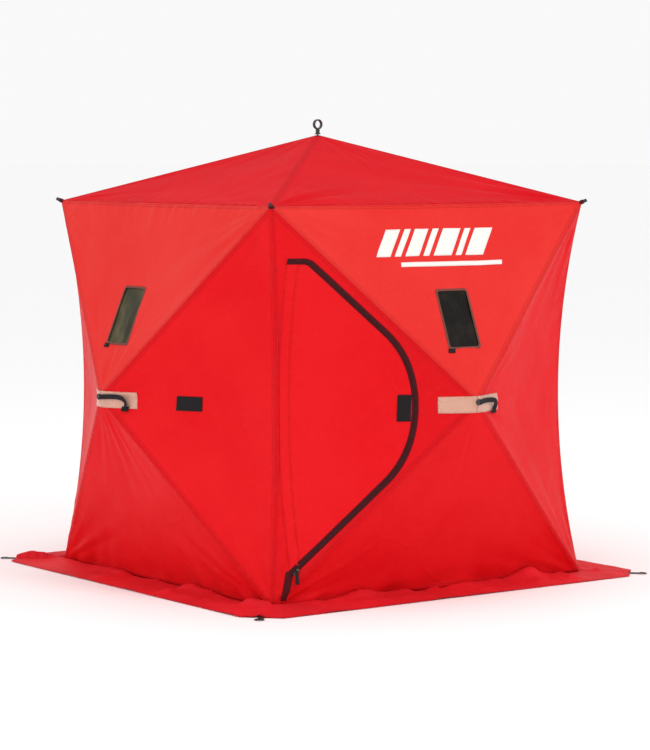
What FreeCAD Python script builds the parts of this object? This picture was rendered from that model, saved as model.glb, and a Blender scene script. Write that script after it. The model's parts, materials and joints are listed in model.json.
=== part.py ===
"""Pop-up hub ice fishing shelter: five hubs, twenty poles and a fabric shell.

Each wall and the roof is a pyramid: four poles run from a sprung-out hub to the corners, and four
triangular fabric panels hang between them.  Millimetres, +Z up, the origin in the middle of the
footprint on the ice.  The front wall, with the door, faces -Y.
"""
import FreeCAD, Part
import math
import os
import Sketcher
from FreeCAD import Placement, Rotation, Vector

DIMENSIONS = {
    "half_base": 889,           # half of the square footprint, and of the eaves
    "eave_height": 1755,
    "apex_height": 2070,        # fabric peak over the roof hub
    "base_height": 3,           # hem of the walls over the ice
    "hub_height": 884,          # wall hubs
    "hub_reach": 330,           # how far a wall hub stands out of the wall's corners
    "corner_pull": 75,          # how far tension pulls a corner seam in at half height
    "fabric_thick": 1,
    "seam_gap": 4,              # from a panel's edge to its seam
    "skirt_width": 240,
    "skirt_corner": 140,        # how far each skirt corner is cut back
    "skirt_thick": 1.5,
    "pole_radius": 5.5,
    "pole_inset": 16,           # pole axis inside the fabric ridge
    "pole_setback": 75,         # pole tip short of the corner
    "boot_radius": 7.5,
    "boot_length": 42,
    "boot_cover": 30,           # how much of the boot the rod fills
    "pivot_radius": 40,         # pins of the hub
    "pin_radius": 3,
    "pin_clearance": 0.12,
    "pin_length": 26,
    "hub_radius": 30,
    "hub_half_height": 7,
    "lug_thick": 5,
    "lug_gap": 13.8,
    "lug_end": 48,
    "tongue_width": 12,
    "socket_radius": 8,
    "socket_start": 13,         # from the pin, along the pole
    "rod_start": 22,
    "socket_end": 62,
    "stem_radius": 3,
    "cap_radius": 14,
    "cap_thick": 5,
    "cap_lift": 2,              # cap's underside over the fabric peak
    "loop_outer": 24,
    "loop_inner": 18,
    "loop_width": 14,
    "loop_height": 50,          # centre of the pull loop over the fabric peak
    "window_width": 205,
    "window_length": 305,
    "window_border": 18,
    "window_height": 1250,      # middle of the window over the ice
    "window_thick": 2,
    "window_gap": 0.8,          # window to the inside of its panel
    "door_fold": 800,           # door's fold line, from the middle of the wall
    "door_top": 1515,
    "door_shoulder": 720,       # where the top run turns down
    "door_point": 52,           # where the two slanting runs would meet
    "door_point_height": 870,
    "door_sill": 148,
    "door_corner_radius": 50,
    "door_point_radius": 460,
    "door_gap": 4,
    "door_band": 40,            # width of the door's folding band, beside the fold line
    "door_band_gap": 3,
    "zip_width": 12,
    "zip_thick": 1.2,
    "zip_lift": 0.4,
    "slider_length": 34,
    "slider_width": 14,
    "slider_thick": 6,
    "slider_gap": 5,
    "slider_seat": 778,         # the closed slider, from the middle of the wall
    "tab_width": 56,
    "tab_height": 118,
    "tab_seat": 300,
    "tab_middle": 862,          # its height over the ice
    "tab_thick": 2,
    "tab_gap": 4,
    "corner_cap_radius": 8,
    "corner_cap_length": 18,
    "corner_cap_gap": 6,
    "anchor_outer": 22,
    "anchor_inner": 15,
    "anchor_thick": 2,
    "anchor_lift": 1.8,
    "anchor_tab_width": 20,
    "anchor_tab_length": 70,
    "anchor_seat": 1099,        # middle of each anchor ring, from the middle of the shelter
}
WALLS = ("front", "right", "back", "left")      # each a quarter turn on from the one before
SEAM_STEPS = 8                                  # facets that follow one curved corner seam
X_AXIS = Vector(1, 0, 0)
Y_AXIS = Vector(0, 1, 0)
Z_AXIS = Vector(0, 0, 1)

doc = FreeCAD.newDocument("ice_shelter")
sheet = doc.addObject("Spreadsheet::Sheet", "Sizes")
for row, (alias, value) in enumerate(DIMENSIONS.items(), start=1):
    sheet.set(f"A{row}", alias)
    sheet.set(f"B{row}", str(value))
    sheet.setAlias(f"B{row}", alias)
doc.recompute()

nodes = {}                                      # sub-part name to document object


def size(alias):
    """A driving dimension, read back from the sheet."""
    return float(sheet.get(alias))


def bind(item, prop, formula):
    """Ties a property to a formula in which sheet names are written as $name."""
    item.setExpression(prop, formula.replace("$", "Sizes."))


def cylinder(name, radius, height, place=None):
    item = doc.addObject("Part::Cylinder", name)
    bind(item, "Radius", radius)
    bind(item, "Height", height)
    item.Placement = place or Placement()
    return item


def box(name, length, width, height, place=None):
    item = doc.addObject("Part::Box", name)
    bind(item, "Length", length)
    bind(item, "Width", width)
    bind(item, "Height", height)
    item.Placement = place or Placement()
    return item


def cut(name, base, tool):
    item = doc.addObject("Part::Cut", name)
    item.Base, item.Tool = base, tool
    return item


def common(name, base, tool):
    item = doc.addObject("Part::Common", name)
    item.Base, item.Tool = base, tool
    return item


def fuse(name, pieces):
    item = doc.addObject("Part::MultiFuse", name)
    item.Shapes = pieces
    return item


def group(name, pieces):
    item = doc.addObject("Part::Compound", name)
    item.Links = pieces
    return item


def node(item, name, place=None):
    """Makes an object a sub-part: its label names the file."""
    item.Label = name
    if place is not None:
        item.Placement = place
    nodes[name] = item
    return item


def turn(quarter):
    """Carries a piece of the front wall to another wall."""
    return Placement(Vector(), Rotation(Z_AXIS, 90 * quarter))


def frame_at(point, x_dir, y_dir):
    """A placement with its own X and Y axes along two square directions."""
    z_dir = x_dir.cross(y_dir)
    matrix = FreeCAD.Matrix(x_dir.x, y_dir.x, z_dir.x, point.x,
                            x_dir.y, y_dir.y, z_dir.y, point.y,
                            x_dir.z, y_dir.z, z_dir.z, point.z,
                            0, 0, 0, 1)
    return Placement(matrix)


half = size("half_base")
eave = size("eave_height")
base = size("base_height")
reach = size("hub_reach")
hub_z = size("hub_height")
rise = size("apex_height") - eave
wall_tip = Vector(0, -half - reach, hub_z)      # fabric peak of the front wall
roof_tip = Vector(0, 0, eave + rise)


# ---------------------------------------------------------------- fabric panels

def flat_panel(name, length, place):
    """A triangle that hangs from its long edge; length is a formula for edge to peak."""
    body = doc.addObject("PartDesign::Body", name)
    sketch = body.newObject("Sketcher::SketchObject", name + "_outline")
    plane = [p for p in body.Origin.OriginFeatures if p.Role == "XY_Plane"][0]
    sketch.AttachmentSupport = (plane, [""])
    sketch.MapMode = "FlatFace"
    corners = (Vector(-half, 0, 0), Vector(half, 0, 0), Vector(0, half, 0))
    for i in range(3):
        sketch.addGeometry(Part.LineSegment(corners[i], corners[(i + 1) % 3]), False)
    for i in range(3):                          # each edge starts where the one before ends
        sketch.addConstraint(Sketcher.Constraint("Coincident", i, 2, (i + 1) % 3, 1))
    side = f"sqrt($half_base^2 + ({length})^2)"
    half_edge = f"$half_base - $seam_gap * ({side} + $half_base) / ({length})"
    peak = f"({length}) - $seam_gap * {side} / $half_base"
    limits = (("left", "DistanceX", 0, 1, -half + 10, f"-({half_edge})"),
              ("edge_start", "DistanceY", 0, 1, 4, "$seam_gap"),
              ("right", "DistanceX", 0, 2, half - 10, half_edge),
              ("edge_end", "DistanceY", 0, 2, 4, "$seam_gap"),
              ("peak", "DistanceY", 1, 2, half, peak))
    for label, kind, line, end, value, formula in limits:
        index = sketch.addConstraint(Sketcher.Constraint(kind, -1, 1, line, end, value))
        sketch.renameConstraint(index, label)
        bind(sketch, "Constraints." + label, formula)
    sketch.addConstraint(Sketcher.Constraint("PointOnObject", 1, 2, -2))
    pad = body.newObject("PartDesign::Pad", name + "_cloth")
    pad.Profile = sketch
    bind(pad, "Length", "$fabric_thick")
    body.Placement = place
    return body


def seam_point(side, height):
    """The corner seam of the front wall, left (-1) or right (1), pulled in by tension."""
    share = (height - base) / (eave - base)
    pull = size("corner_pull") * 4 * share * (1 - share)
    return Vector(side * (half - pull), -half + pull, height)


def solid_of(triangles):
    faces = [Part.Face(Part.makePolygon([a, b, c, a])) for a, b, c in triangles]
    shape = Part.Solid(Part.Shell(faces))
    if shape.Volume < 0:
        shape.reverse()
    return shape


def fan_shell(side, out_lift, thick):
    """Side panel of the front wall: flat facets from the hub to a curved corner seam."""
    steps = [base + (eave - base) * i / SEAM_STEPS for i in range(SEAM_STEPS + 1)]
    rim = [seam_point(side, z) for z in steps]
    middle = (rim[0] + rim[-1] + wall_tip) * (1 / 3)
    run = eave - base
    inradius = run * half / (run + 2 * math.hypot(half, reach, run / 2))
    keep = 1 - size("seam_gap") / inradius
    outward = Vector(side * reach, -half, 0).normalize()
    outer = [middle + (p - middle) * keep + outward * out_lift for p in rim]
    peak = middle + (wall_tip - middle) * keep + outward * out_lift
    inner = [p - outward * thick for p in outer]
    under = peak - outward * thick
    faces = []
    for i in range(SEAM_STEPS):
        faces.append((peak, outer[i], outer[i + 1]))
        faces.append((under, inner[i + 1], inner[i]))
        faces.append((outer[i], inner[i], inner[i + 1]))
        faces.append((outer[i], inner[i + 1], outer[i + 1]))
    for a, b, c, d in ((peak, outer[0], inner[0], under), (outer[-1], peak, under, inner[-1])):
        faces.append((a, b, c))
        faces.append((a, c, d))
    return solid_of(faces)


def wall_surface(x, z):
    """Outward side of the front wall's side panels at x, z: their y."""
    side = -1 if x < 0 else 1
    low, high = base, eave
    for _ in range(40):                         # the seam height whose line to the hub meets x, z
        guess = (low + high) / 2
        seam = seam_point(side, guess)
        share = (x - seam.x) / (wall_tip.x - seam.x)
        if seam.z + share * (wall_tip.z - seam.z) < z:
            low = guess
        else:
            high = guess
    return seam.y + share * (wall_tip.y - seam.y)


def shape_feature(name, shape):
    item = doc.addObject("Part::Feature", name)
    item.Shape = shape
    return item


TOP_LENGTH = "sqrt(($eave_height - $hub_height)^2 + $hub_reach^2)"
BOTTOM_LENGTH = "sqrt(($hub_height - $base_height)^2 + $hub_reach^2)"
ROOF_LENGTH = "sqrt(($apex_height - $eave_height)^2 + $half_base^2)"


def facet_place(edge_height, tip, flip):
    """Frame on a panel: X along its edge, Y towards the peak, Z into the shelter."""
    edge = Vector(0, -half, edge_height)
    y_dir = (tip - edge).normalize()
    return frame_at(edge, X_AXIS * flip, y_dir)


top_place = facet_place(eave, wall_tip, -1)
bottom_place = facet_place(base, wall_tip, 1)
roof_place = facet_place(eave, roof_tip, -1)


def facet_spot(place, height):
    """How far along a panel's own Y the given height lies."""
    y_dir = place.Rotation.multVec(Y_AXIS)
    return (height - place.Base.z) / y_dir.z


window_spot = facet_spot(top_place, size("window_height"))


def window_hole(name, wall):
    """The opening in an upper panel, one border width smaller than the window all round."""
    hole = box(name, "$window_width - 2*$window_border", "$window_length - 2*$window_border",
               "4*$fabric_thick")
    offset = Vector(-size("window_width") / 2 + size("window_border"),
                    window_spot - size("window_length") / 2 + size("window_border"),
                    -size("fabric_thick"))
    hole.Placement = wall * top_place * Placement(offset, Rotation())
    return hole


def window(name, wall):
    """A removable window: a stiff border round a clear pane, held on inside the panel."""
    whole = box(name + "_blank", "$window_width", "$window_length", "$window_thick")
    inset = Placement(Vector(size("window_border"), size("window_border"), 0), Rotation())
    hole = box(name + "_cutout", "$window_width - 2*$window_border",
               "$window_length - 2*$window_border", "$window_thick", inset)
    pane = box(name + "_pane", "$window_width - 2*$window_border",
               "$window_length - 2*$window_border", "$window_thick", inset)
    border = cut(name + "_border", whole, hole)
    offset = Vector(-size("window_width") / 2, window_spot - size("window_length") / 2,
                    size("fabric_thick") + size("window_gap"))
    item = group(name + "_pieces", [border, pane])
    return node(item, name, wall * top_place * Placement(offset, Rotation()))


# ---------------------------------------------------------------- hubs and poles

def hub(name, tip, out_dir, first_arm, depth):
    """A hub with four pairs of lugs and their pins; depth is from the peak to the pins."""
    across = out_dir.cross(first_arm)
    place = frame_at(tip - out_dir * depth, first_arm, across)
    height = "2*$hub_half_height"
    low = Vector(0, 0, -size("hub_half_height"))
    pieces = [cylinder(name + "_disc", "$hub_radius", height, Placement(low, Rotation()))]
    pins = []
    for arm in range(4):
        swing = Placement(Vector(), Rotation(Z_AXIS, 90 * arm))
        for ear, start in enumerate((size("lug_gap") / 2, -size("lug_gap") / 2 - size("lug_thick"))):
            corner = Vector(size("hub_radius") - 6, start, -size("hub_half_height"))
            pieces.append(box(f"{name}_lug_{arm}_{ear}", "$lug_end - $hub_radius + 6", "$lug_thick",
                              height, swing * Placement(corner, Rotation())))
        seat = Vector(size("pivot_radius"), size("pin_length") / 2, 0)
        pin_place = swing * Placement(seat, Rotation(X_AXIS, 90))
        pins.append(cylinder(f"{name}_pin_{arm}", "$pin_radius", "$pin_length", pin_place))
    blank = fuse(name + "_blank", pieces)
    holes = fuse(name + "_pin_holes", [cylinder(f"{name}_hole_{arm}", "$pin_radius", "$pin_length",
                                                pin.Placement) for arm, pin in enumerate(pins)])
    return node(group(name + "_pieces", [cut(name + "_body", blank, holes)] + pins), name, place)


def hub_cap(name, tip, out_dir, x_dir, depth, with_loop=False):
    """The cap that clamps the fabric peak to its hub, with a pull loop on the roof's."""
    stem_length = f"{depth} - $hub_half_height + $cap_lift"
    start = Vector(0, 0, -depth + size("hub_half_height"))
    pieces = [cylinder(name + "_stem", "$stem_radius", stem_length, Placement(start, Rotation())),
              cylinder(name + "_disc", "$cap_radius", "$cap_thick",
                       Placement(Vector(0, 0, size("cap_lift")), Rotation()))]
    if with_loop:
        centre = Vector(0, size("loop_width") / 2, size("loop_height"))
        across = Placement(centre, Rotation(X_AXIS, 90))
        ring = cut(name + "_ring", cylinder(name + "_outer", "$loop_outer", "$loop_width", across),
                   cylinder(name + "_inner", "$loop_inner", "$loop_width", across))
        foot = Vector(-size("loop_width") / 2, -size("loop_width") / 2, size("cap_lift"))
        foot_height = "$loop_height - $cap_lift - ($loop_outer + $loop_inner)/2"
        pieces += [ring, box(name + "_foot", "$loop_width", "$loop_width", foot_height,
                             Placement(foot, Rotation()))]
    place = frame_at(tip, x_dir, out_dir.cross(x_dir))
    return node(fuse(name + "_solid", pieces), name, place)


def pole(name, tip, out_dir, corner, depth):
    """One pole: a knuckle on the hub's pin, the rod, and a boot at the corner end."""
    flat = corner - tip
    drop = -flat.dot(out_dir)
    in_plane = flat + out_dir * drop
    span = in_plane.Length
    arm = in_plane.normalize()
    slope = math.atan2(drop, span)
    along = arm * math.cos(slope) - out_dir * math.sin(slope)
    pin = arm.cross(out_dir)
    pivot = tip - out_dir * depth + arm * size("pivot_radius")
    length = (span - size("pivot_radius") - size("pole_setback")) / math.cos(slope)
    to_x = Rotation(Y_AXIS, 90)
    tongue = box(name + "_tongue", "$socket_start + 2", "$tongue_width", "2*$hub_half_height",
                 Placement(Vector(0, -size("tongue_width") / 2, -size("hub_half_height")), Rotation()))
    barrel_place = Placement(Vector(0, size("tongue_width") / 2, 0), Rotation(X_AXIS, 90))
    barrel = cylinder(name + "_barrel", "$hub_half_height", "$tongue_width", barrel_place)
    socket = cylinder(name + "_socket", "$socket_radius", "$socket_end - $socket_start",
                      Placement(Vector(size("socket_start"), 0, 0), to_x))
    bore = cylinder(name + "_bore", "$pin_radius + $pin_clearance", "$tongue_width", barrel_place)
    rod_seat = cylinder(name + "_seat", "$pole_radius", "$socket_end - $rod_start",
                        Placement(Vector(size("rod_start"), 0, 0), to_x))
    knuckle = cut(name + "_knuckle", fuse(name + "_knuckle_blank", [tongue, barrel, socket]),
                  fuse(name + "_knuckle_holes", [bore, rod_seat]))
    rod_end = f"{length} - $boot_length + $boot_cover"
    rod = cylinder(name + "_rod", "$pole_radius", f"{rod_end} - $rod_start",
                   Placement(Vector(size("rod_start"), 0, 0), to_x))
    boot_place = Placement(Vector(length - size("boot_length"), 0, 0), to_x)
    boot = cut(name + "_boot",
               cylinder(name + "_boot_blank", "$boot_radius", "$boot_length", boot_place),
               cylinder(name + "_boot_bore", "$pole_radius", "$boot_cover", boot_place))
    return node(group(name + "_pieces", [knuckle, rod, boot]), name, frame_at(pivot, along, pin))


def hub_depth(drop, span):
    """From the fabric peak to the pins: the poles lie one inset under the fabric ridges."""
    return drop * size("pivot_radius") / span + size("pole_inset")


wall_depth = hub_depth(reach, math.hypot(half, eave - hub_z))
roof_depth = hub_depth(rise, math.hypot(half, half))
wall_corners = {"upper_left": Vector(-half, -half, eave), "upper_right": Vector(half, -half, eave),
                "lower_left": Vector(-half, -half, base), "lower_right": Vector(half, -half, base)}
outward = Vector(0, -1, 0)
diagonal = Vector(1, 0, 1).normalize()


def aimed(place, vector):
    return place.Rotation.multVec(vector)


for quarter, wall in enumerate(WALLS):
    there = turn(quarter)
    tip = there.multVec(wall_tip)
    out_dir = aimed(there, outward)
    hub(wall + "_hub", tip, out_dir, aimed(there, diagonal), wall_depth)
    hub_cap(wall + "_hub_cap", tip, out_dir, aimed(there, X_AXIS), wall_depth)
    for end, corner in wall_corners.items():
        pole(f"{wall}_pole_{end}", tip, out_dir, there.multVec(corner), wall_depth)
hub("roof_hub", roof_tip, Z_AXIS, Vector(1, 1, 0).normalize(), roof_depth)
hub_cap("roof_hub_cap", roof_tip, Z_AXIS, X_AXIS, roof_depth, with_loop=True)
for quarter, end in enumerate(("front_left", "front_right", "back_right", "back_left")):
    corner = turn(quarter).multVec(Vector(-half, -half, eave))
    pole("roof_pole_" + end, roof_tip, Z_AXIS, corner, roof_depth)


# ---------------------------------------------------------------- door

def door_outline(grow):
    """The door's edge on the front wall, seen square on: a closed wire grown by one width."""
    fold, point = -size("door_fold"), -size("door_point")
    peak_z = size("door_point_height")
    corners = [Vector(fold, 0, size("door_sill")), Vector(fold, 0, size("door_top")),
               Vector(-size("door_shoulder"), 0, size("door_top")),
               Vector(point, 0, peak_z)]
    radii = (0, 0, size("door_corner_radius"), size("door_point_radius"))
    edges = []
    ends = []
    for i, (corner, radius) in enumerate(zip(corners, radii)):
        before = (corners[i - 1] - corner).normalize()
        after = (corners[(i + 1) % 4] - corner).normalize()
        half_turn = before.getAngle(after) / 2
        trim = radius / math.tan(half_turn)
        first, last = corner + before * trim, corner + after * trim
        ends.append((first, last))
        if radius:
            bisector = (before + after).normalize()
            centre = corner + bisector * (radius / math.sin(half_turn))
            edges.append(Part.Arc(first, centre - bisector * radius, last).toShape())
    for i in range(4):
        edges.append(Part.LineSegment(ends[i - 1][1], ends[i][0]).toShape())
    wire = Part.Wire(Part.__sortEdges__(edges))
    return wire.makeOffset2D(grow) if grow else wire


def door_prism(name, grow):
    """The door's outline carried through the front wall."""
    face = Part.Face(door_outline(grow))
    face.translate(Vector(0, -half - reach - 100, 0))
    return shape_feature(name, face.extrude(Vector(0, reach + 400, 0)))


fan = shape_feature("front_left_fan", fan_shell(-1, 0, size("fabric_thick")))
cloth = common("door_cloth", fan, door_prism("door_edge", 0))
band_side = box("door_band_side", "$door_band + 100", "600", "2000",
                Placement(Vector(-size("door_fold") - 100, -half - reach - 100, 0), Rotation()))
flap_cut = box("door_flap_cut", "$door_band + $door_band_gap + 100", "600", "2000",
               band_side.Placement)
node(common("door_band_cloth", cloth, band_side), "door_band")
node(cut("door_flap_cloth", cloth, flap_cut), "door_flap")
node(cut("door_surround", fan, door_prism("door_clearance", size("door_gap"))), "front_panel_left")

# The zip tape lies on the surround, just outside the door's edge, and stops at the fold line.
tape_sheet = shape_feature("zip_sheet", fan_shell(-1, size("zip_lift") + size("zip_thick"),
                                                  size("zip_thick")))
tape_ring = cut("zip_ring", door_prism("zip_outer", size("door_gap") + size("zip_width")),
                door_prism("zip_inner", size("door_gap")))
tape = common("zip_tape", tape_sheet, tape_ring)
fold_cut = box("zip_fold_cut", "100", "600", "2000",
               Placement(Vector(-size("door_fold") - 100, -half - reach - 100, 0), Rotation()))
node(cut("zip_path", tape, fold_cut), "door_zipper")


def on_wall(x, z, lift):
    """A point off the front wall's outer face, and the face's outward direction there."""
    here = Vector(x, wall_surface(x, z), z)
    right = Vector(x + 20, wall_surface(x + 20, z), z) - here
    above = Vector(x, wall_surface(x, z + 20), z + 20) - here
    out_dir = right.cross(above).normalize()
    return here + out_dir * lift, out_dir


def zip_run(x):
    """The height of the lower straight run of the zip at x."""
    sill, peak_z = size("door_sill"), size("door_point_height")
    slope = (peak_z - sill) / (size("door_fold") - size("door_point"))
    normal = math.hypot(slope, 1)
    middle = size("door_gap") + size("zip_width") / 2
    return sill + (x + size("door_fold")) * slope - middle * normal


slider_x = -size("slider_seat")
slider_start, slider_out = on_wall(slider_x, zip_run(slider_x), size("slider_gap"))
slider_far, _ = on_wall(slider_x + 400, zip_run(slider_x + 400), size("slider_gap"))
slider_dir = (slider_far - slider_start).normalize()
slider_across = slider_out.cross(slider_dir).normalize()
slider_place = frame_at(slider_start, slider_dir, slider_across)
slider_body = box("slider_body", "$slider_length", "$slider_width", "$slider_thick/2",
                  Placement(Vector(-size("slider_length") / 2, -size("slider_width") / 2, 0),
                            Rotation()))
slider_bridge = box("slider_bridge", "$slider_length/3", "$slider_width/3", "$slider_thick",
                    Placement(Vector(-size("slider_length") / 6, -size("slider_width") / 6, 0),
                              Rotation()))
node(fuse("slider_solid", [slider_body, slider_bridge]), "zipper_slider", slider_place)


tab_point, tab_out = on_wall(-size("tab_seat"), size("tab_middle"), size("tab_gap"))
tab_x = (X_AXIS - tab_out * X_AXIS.dot(tab_out)).normalize()
tab_corner = Placement(Vector(-size("tab_width") / 2, -size("tab_height") / 2, 0), Rotation())
node(box("door_tab_cloth", "$tab_width", "$tab_height", "$tab_thick"), "door_tab",
     frame_at(tab_point, tab_x, tab_out.cross(tab_x)) * tab_corner)

# ---------------------------------------------------------------- remaining fabric

for quarter, wall in enumerate(WALLS):
    there = turn(quarter)
    upper = flat_panel(wall + "_upper", TOP_LENGTH, there * top_place)
    if wall in ("front", "left"):
        upper = cut(wall + "_upper_opening", upper, window_hole(wall + "_window_hole", there))
        window(wall + "_window", there)
    node(upper, wall + "_panel_top")
    node(flat_panel(wall + "_lower", BOTTOM_LENGTH, there * bottom_place), wall + "_panel_bottom")
    node(flat_panel(f"roof_{wall}", ROOF_LENGTH, there * roof_place), f"roof_panel_{wall}")
    sides = {"left": -1, "right": 1}
    if wall == "front":
        del sides["left"]                       # the door's surround stands there
    for side, sign in sides.items():
        shape = fan_shell(sign, 0, size("fabric_thick"))
        node(shape_feature(f"{wall}_{side}_fan", shape), f"{wall}_panel_{side}", there)

# ---------------------------------------------------------------- skirt and corners

skirt_half = half + size("skirt_width")
outer_sheet = box("skirt_outer", "2*($half_base + $skirt_width)", "2*($half_base + $skirt_width)",
                  "$skirt_thick", Placement(Vector(-skirt_half, -skirt_half, 0), Rotation()))
floor_hole = box("skirt_hole", "2*$half_base", "2*$half_base", "$skirt_thick",
                 Placement(Vector(-half, -half, 0), Rotation()))
corner_cuts = []
for quarter in range(4):
    middle = Vector(-skirt_half + size("skirt_corner") / 2, -skirt_half + size("skirt_corner") / 2, 0)
    edge = Placement(middle, Rotation(Z_AXIS, 225)) * Placement(Vector(0, -400, -1), Rotation())
    corner_cuts.append(box(f"skirt_corner_{quarter}", "400", "800", "$skirt_thick + 2",
                           turn(quarter) * edge))
skirt_tools = fuse("skirt_tools", [floor_hole] + corner_cuts)
node(cut("skirt_cloth", outer_sheet, skirt_tools), "skirt")

caps = []
anchors = []
for quarter in range(4):
    there = turn(quarter)
    away = Vector(-1, -1, 0.6).normalize()
    sideways = Vector(1, -1, 0).normalize()
    seat = Vector(-half, -half, eave) + away * size("corner_cap_gap")
    place = there * frame_at(seat, sideways, away.cross(sideways))
    caps.append(cylinder(f"corner_cap_{quarter}", "$corner_cap_radius", "$corner_cap_length", place))
    ring_middle = Vector(-size("anchor_seat"), -size("anchor_seat"), size("anchor_lift"))
    inward = frame_at(ring_middle, Vector(1, 1, 0).normalize(), Vector(-1, 1, 0).normalize())
    ring = cylinder(f"anchor_ring_{quarter}", "$anchor_outer", "$anchor_thick", there * inward)
    tab_offset = Placement(Vector(0, -size("anchor_tab_width") / 2, 0), Rotation())
    tab = box(f"anchor_tab_{quarter}", "$anchor_tab_length", "$anchor_tab_width", "$anchor_thick",
              there * inward * tab_offset)
    hole = cylinder(f"anchor_hole_{quarter}", "$anchor_inner", "$anchor_thick", there * inward)
    anchors.append(cut(f"anchor_{quarter}", fuse(f"anchor_blank_{quarter}", [ring, tab]), hole))
node(group("corner_caps_pieces", caps), "corner_caps")
node(group("corner_anchors_pieces", anchors), "corner_anchors")

# ---------------------------------------------------------------- check and write

doc.recompute()
for item in doc.Objects:
    if "Invalid" in item.State or "Error" in item.State:
        raise RuntimeError(f"{item.Name} failed: {item.State}")
for name, item in nodes.items():
    if item.Shape.isNull() or not item.Shape.isValid():
        raise RuntimeError(f"{name} has no valid shape")
os.makedirs("parts", exist_ok=True)
for name, item in nodes.items():
    item.Shape.exportStep(f"parts/{name}.step")
print(len(nodes), "sub-parts")
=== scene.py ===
"""Looks of the pop-up hub ice shelter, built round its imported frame.  Metres, +Z up."""
import json
import math
from functools import partial
import bpy
from mathutils import Matrix, Vector, geometry, noise


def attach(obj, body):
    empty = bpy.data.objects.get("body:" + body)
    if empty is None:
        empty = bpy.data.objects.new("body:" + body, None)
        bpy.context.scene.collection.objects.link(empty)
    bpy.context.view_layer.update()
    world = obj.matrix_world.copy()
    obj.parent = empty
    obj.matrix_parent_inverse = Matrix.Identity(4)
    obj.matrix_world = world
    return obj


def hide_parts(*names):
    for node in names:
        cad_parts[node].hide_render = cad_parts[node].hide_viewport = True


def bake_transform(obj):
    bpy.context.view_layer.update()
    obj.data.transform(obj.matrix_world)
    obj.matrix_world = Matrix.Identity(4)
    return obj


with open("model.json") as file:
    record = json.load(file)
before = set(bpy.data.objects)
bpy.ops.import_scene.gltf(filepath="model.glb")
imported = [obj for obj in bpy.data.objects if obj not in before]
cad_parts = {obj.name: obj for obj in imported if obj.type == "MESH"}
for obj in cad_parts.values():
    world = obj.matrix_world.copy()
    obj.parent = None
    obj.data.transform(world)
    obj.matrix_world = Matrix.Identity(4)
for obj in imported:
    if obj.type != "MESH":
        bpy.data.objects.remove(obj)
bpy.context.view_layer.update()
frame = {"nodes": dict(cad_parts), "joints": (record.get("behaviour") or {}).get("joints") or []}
joints = {joint["name"]: joint for joint in frame["joints"]}
scene = bpy.context.scene
scene.view_settings.view_transform = "Standard"

# ---- driving dimensions

HALF = -joints["front_panel_top_seam"]["pos_m"][1]
EAVE = joints["front_panel_top_seam"]["pos_m"][2]
BASE = joints["front_panel_bottom_seam"]["pos_m"][2]
HUB_Z = joints["front_panel_left_seam"]["pos_m"][2]
REACH = 0.330  # how far a hub stands out of the straight wall
APEX = 2.070
CORNER_PULL = 0.075  # how far a corner is drawn in at half height, each way
SKIRT = 0.240
SKIRT_CORNER = 0.140  # cut back from each corner, along each side
WALLS = ("front", "right", "back", "left")
CLOTH = 0.0007  # thickness of the shown cloth
MESH_STEP = 0.013  # spacing of the cloth's vertices
ROW_SHARE = 0.866  # height of an even triangle, as a share of its side
FOLD_X = -0.800  # the door's fold line on the front wall
BAND_X = -0.760  # far edge of the door's folding band
DOOR_TOP = 1.515
DOOR_SILL = 0.148
DOOR_POINT = (-0.052, 0.870)  # where the door's two slanting runs would meet
WINDOW_Z = 1.250
WINDOW_HALF_WIDE, WINDOW_HALF_LONG = 0.0845, 0.1345
UPPER_SLOPE = (EAVE - HUB_Z) / math.hypot(EAVE - HUB_Z, REACH)  # plan height of a slanting length
DOOR_SEAM_ZONE = 0.014  # how near its seam a front panel bends, beside the door
SEAM_ZONE = 0.10  # how near its seam any other panel bends
TAPE = 0.013  # width of each half of the zip
LAY = 0.0012  # height of a tape over the cloth
PATCH_LIFT = 0.0030  # height of a sewn patch over the cloth
STRIP_LIFT = 0.0022
PRINT_LIFT = 0.0011
STRIP_BAND = (HUB_Z - 0.048, HUB_Z + 0.026)  # foot and top of the reflective strips
SETTLE_FRAMES = 26  # length of the skirt's fall
CREASED = 0.75  # share of its first ripples that is added back afterwards
ANCHOR = 1.099  # anchor loops, from the middle along X and along Y
ANCHOR_Z = 0.0052
GROMMET_STEPS = 28


def turned(vector, quarter):
    return Matrix.Rotation(math.radians(90 * quarter), 3, "Z") @ Vector(vector)


def smooth(t):
    t = min(1.0, max(0.0, t))
    return t * t * (3 - 2 * t)


# ---- materials

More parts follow.
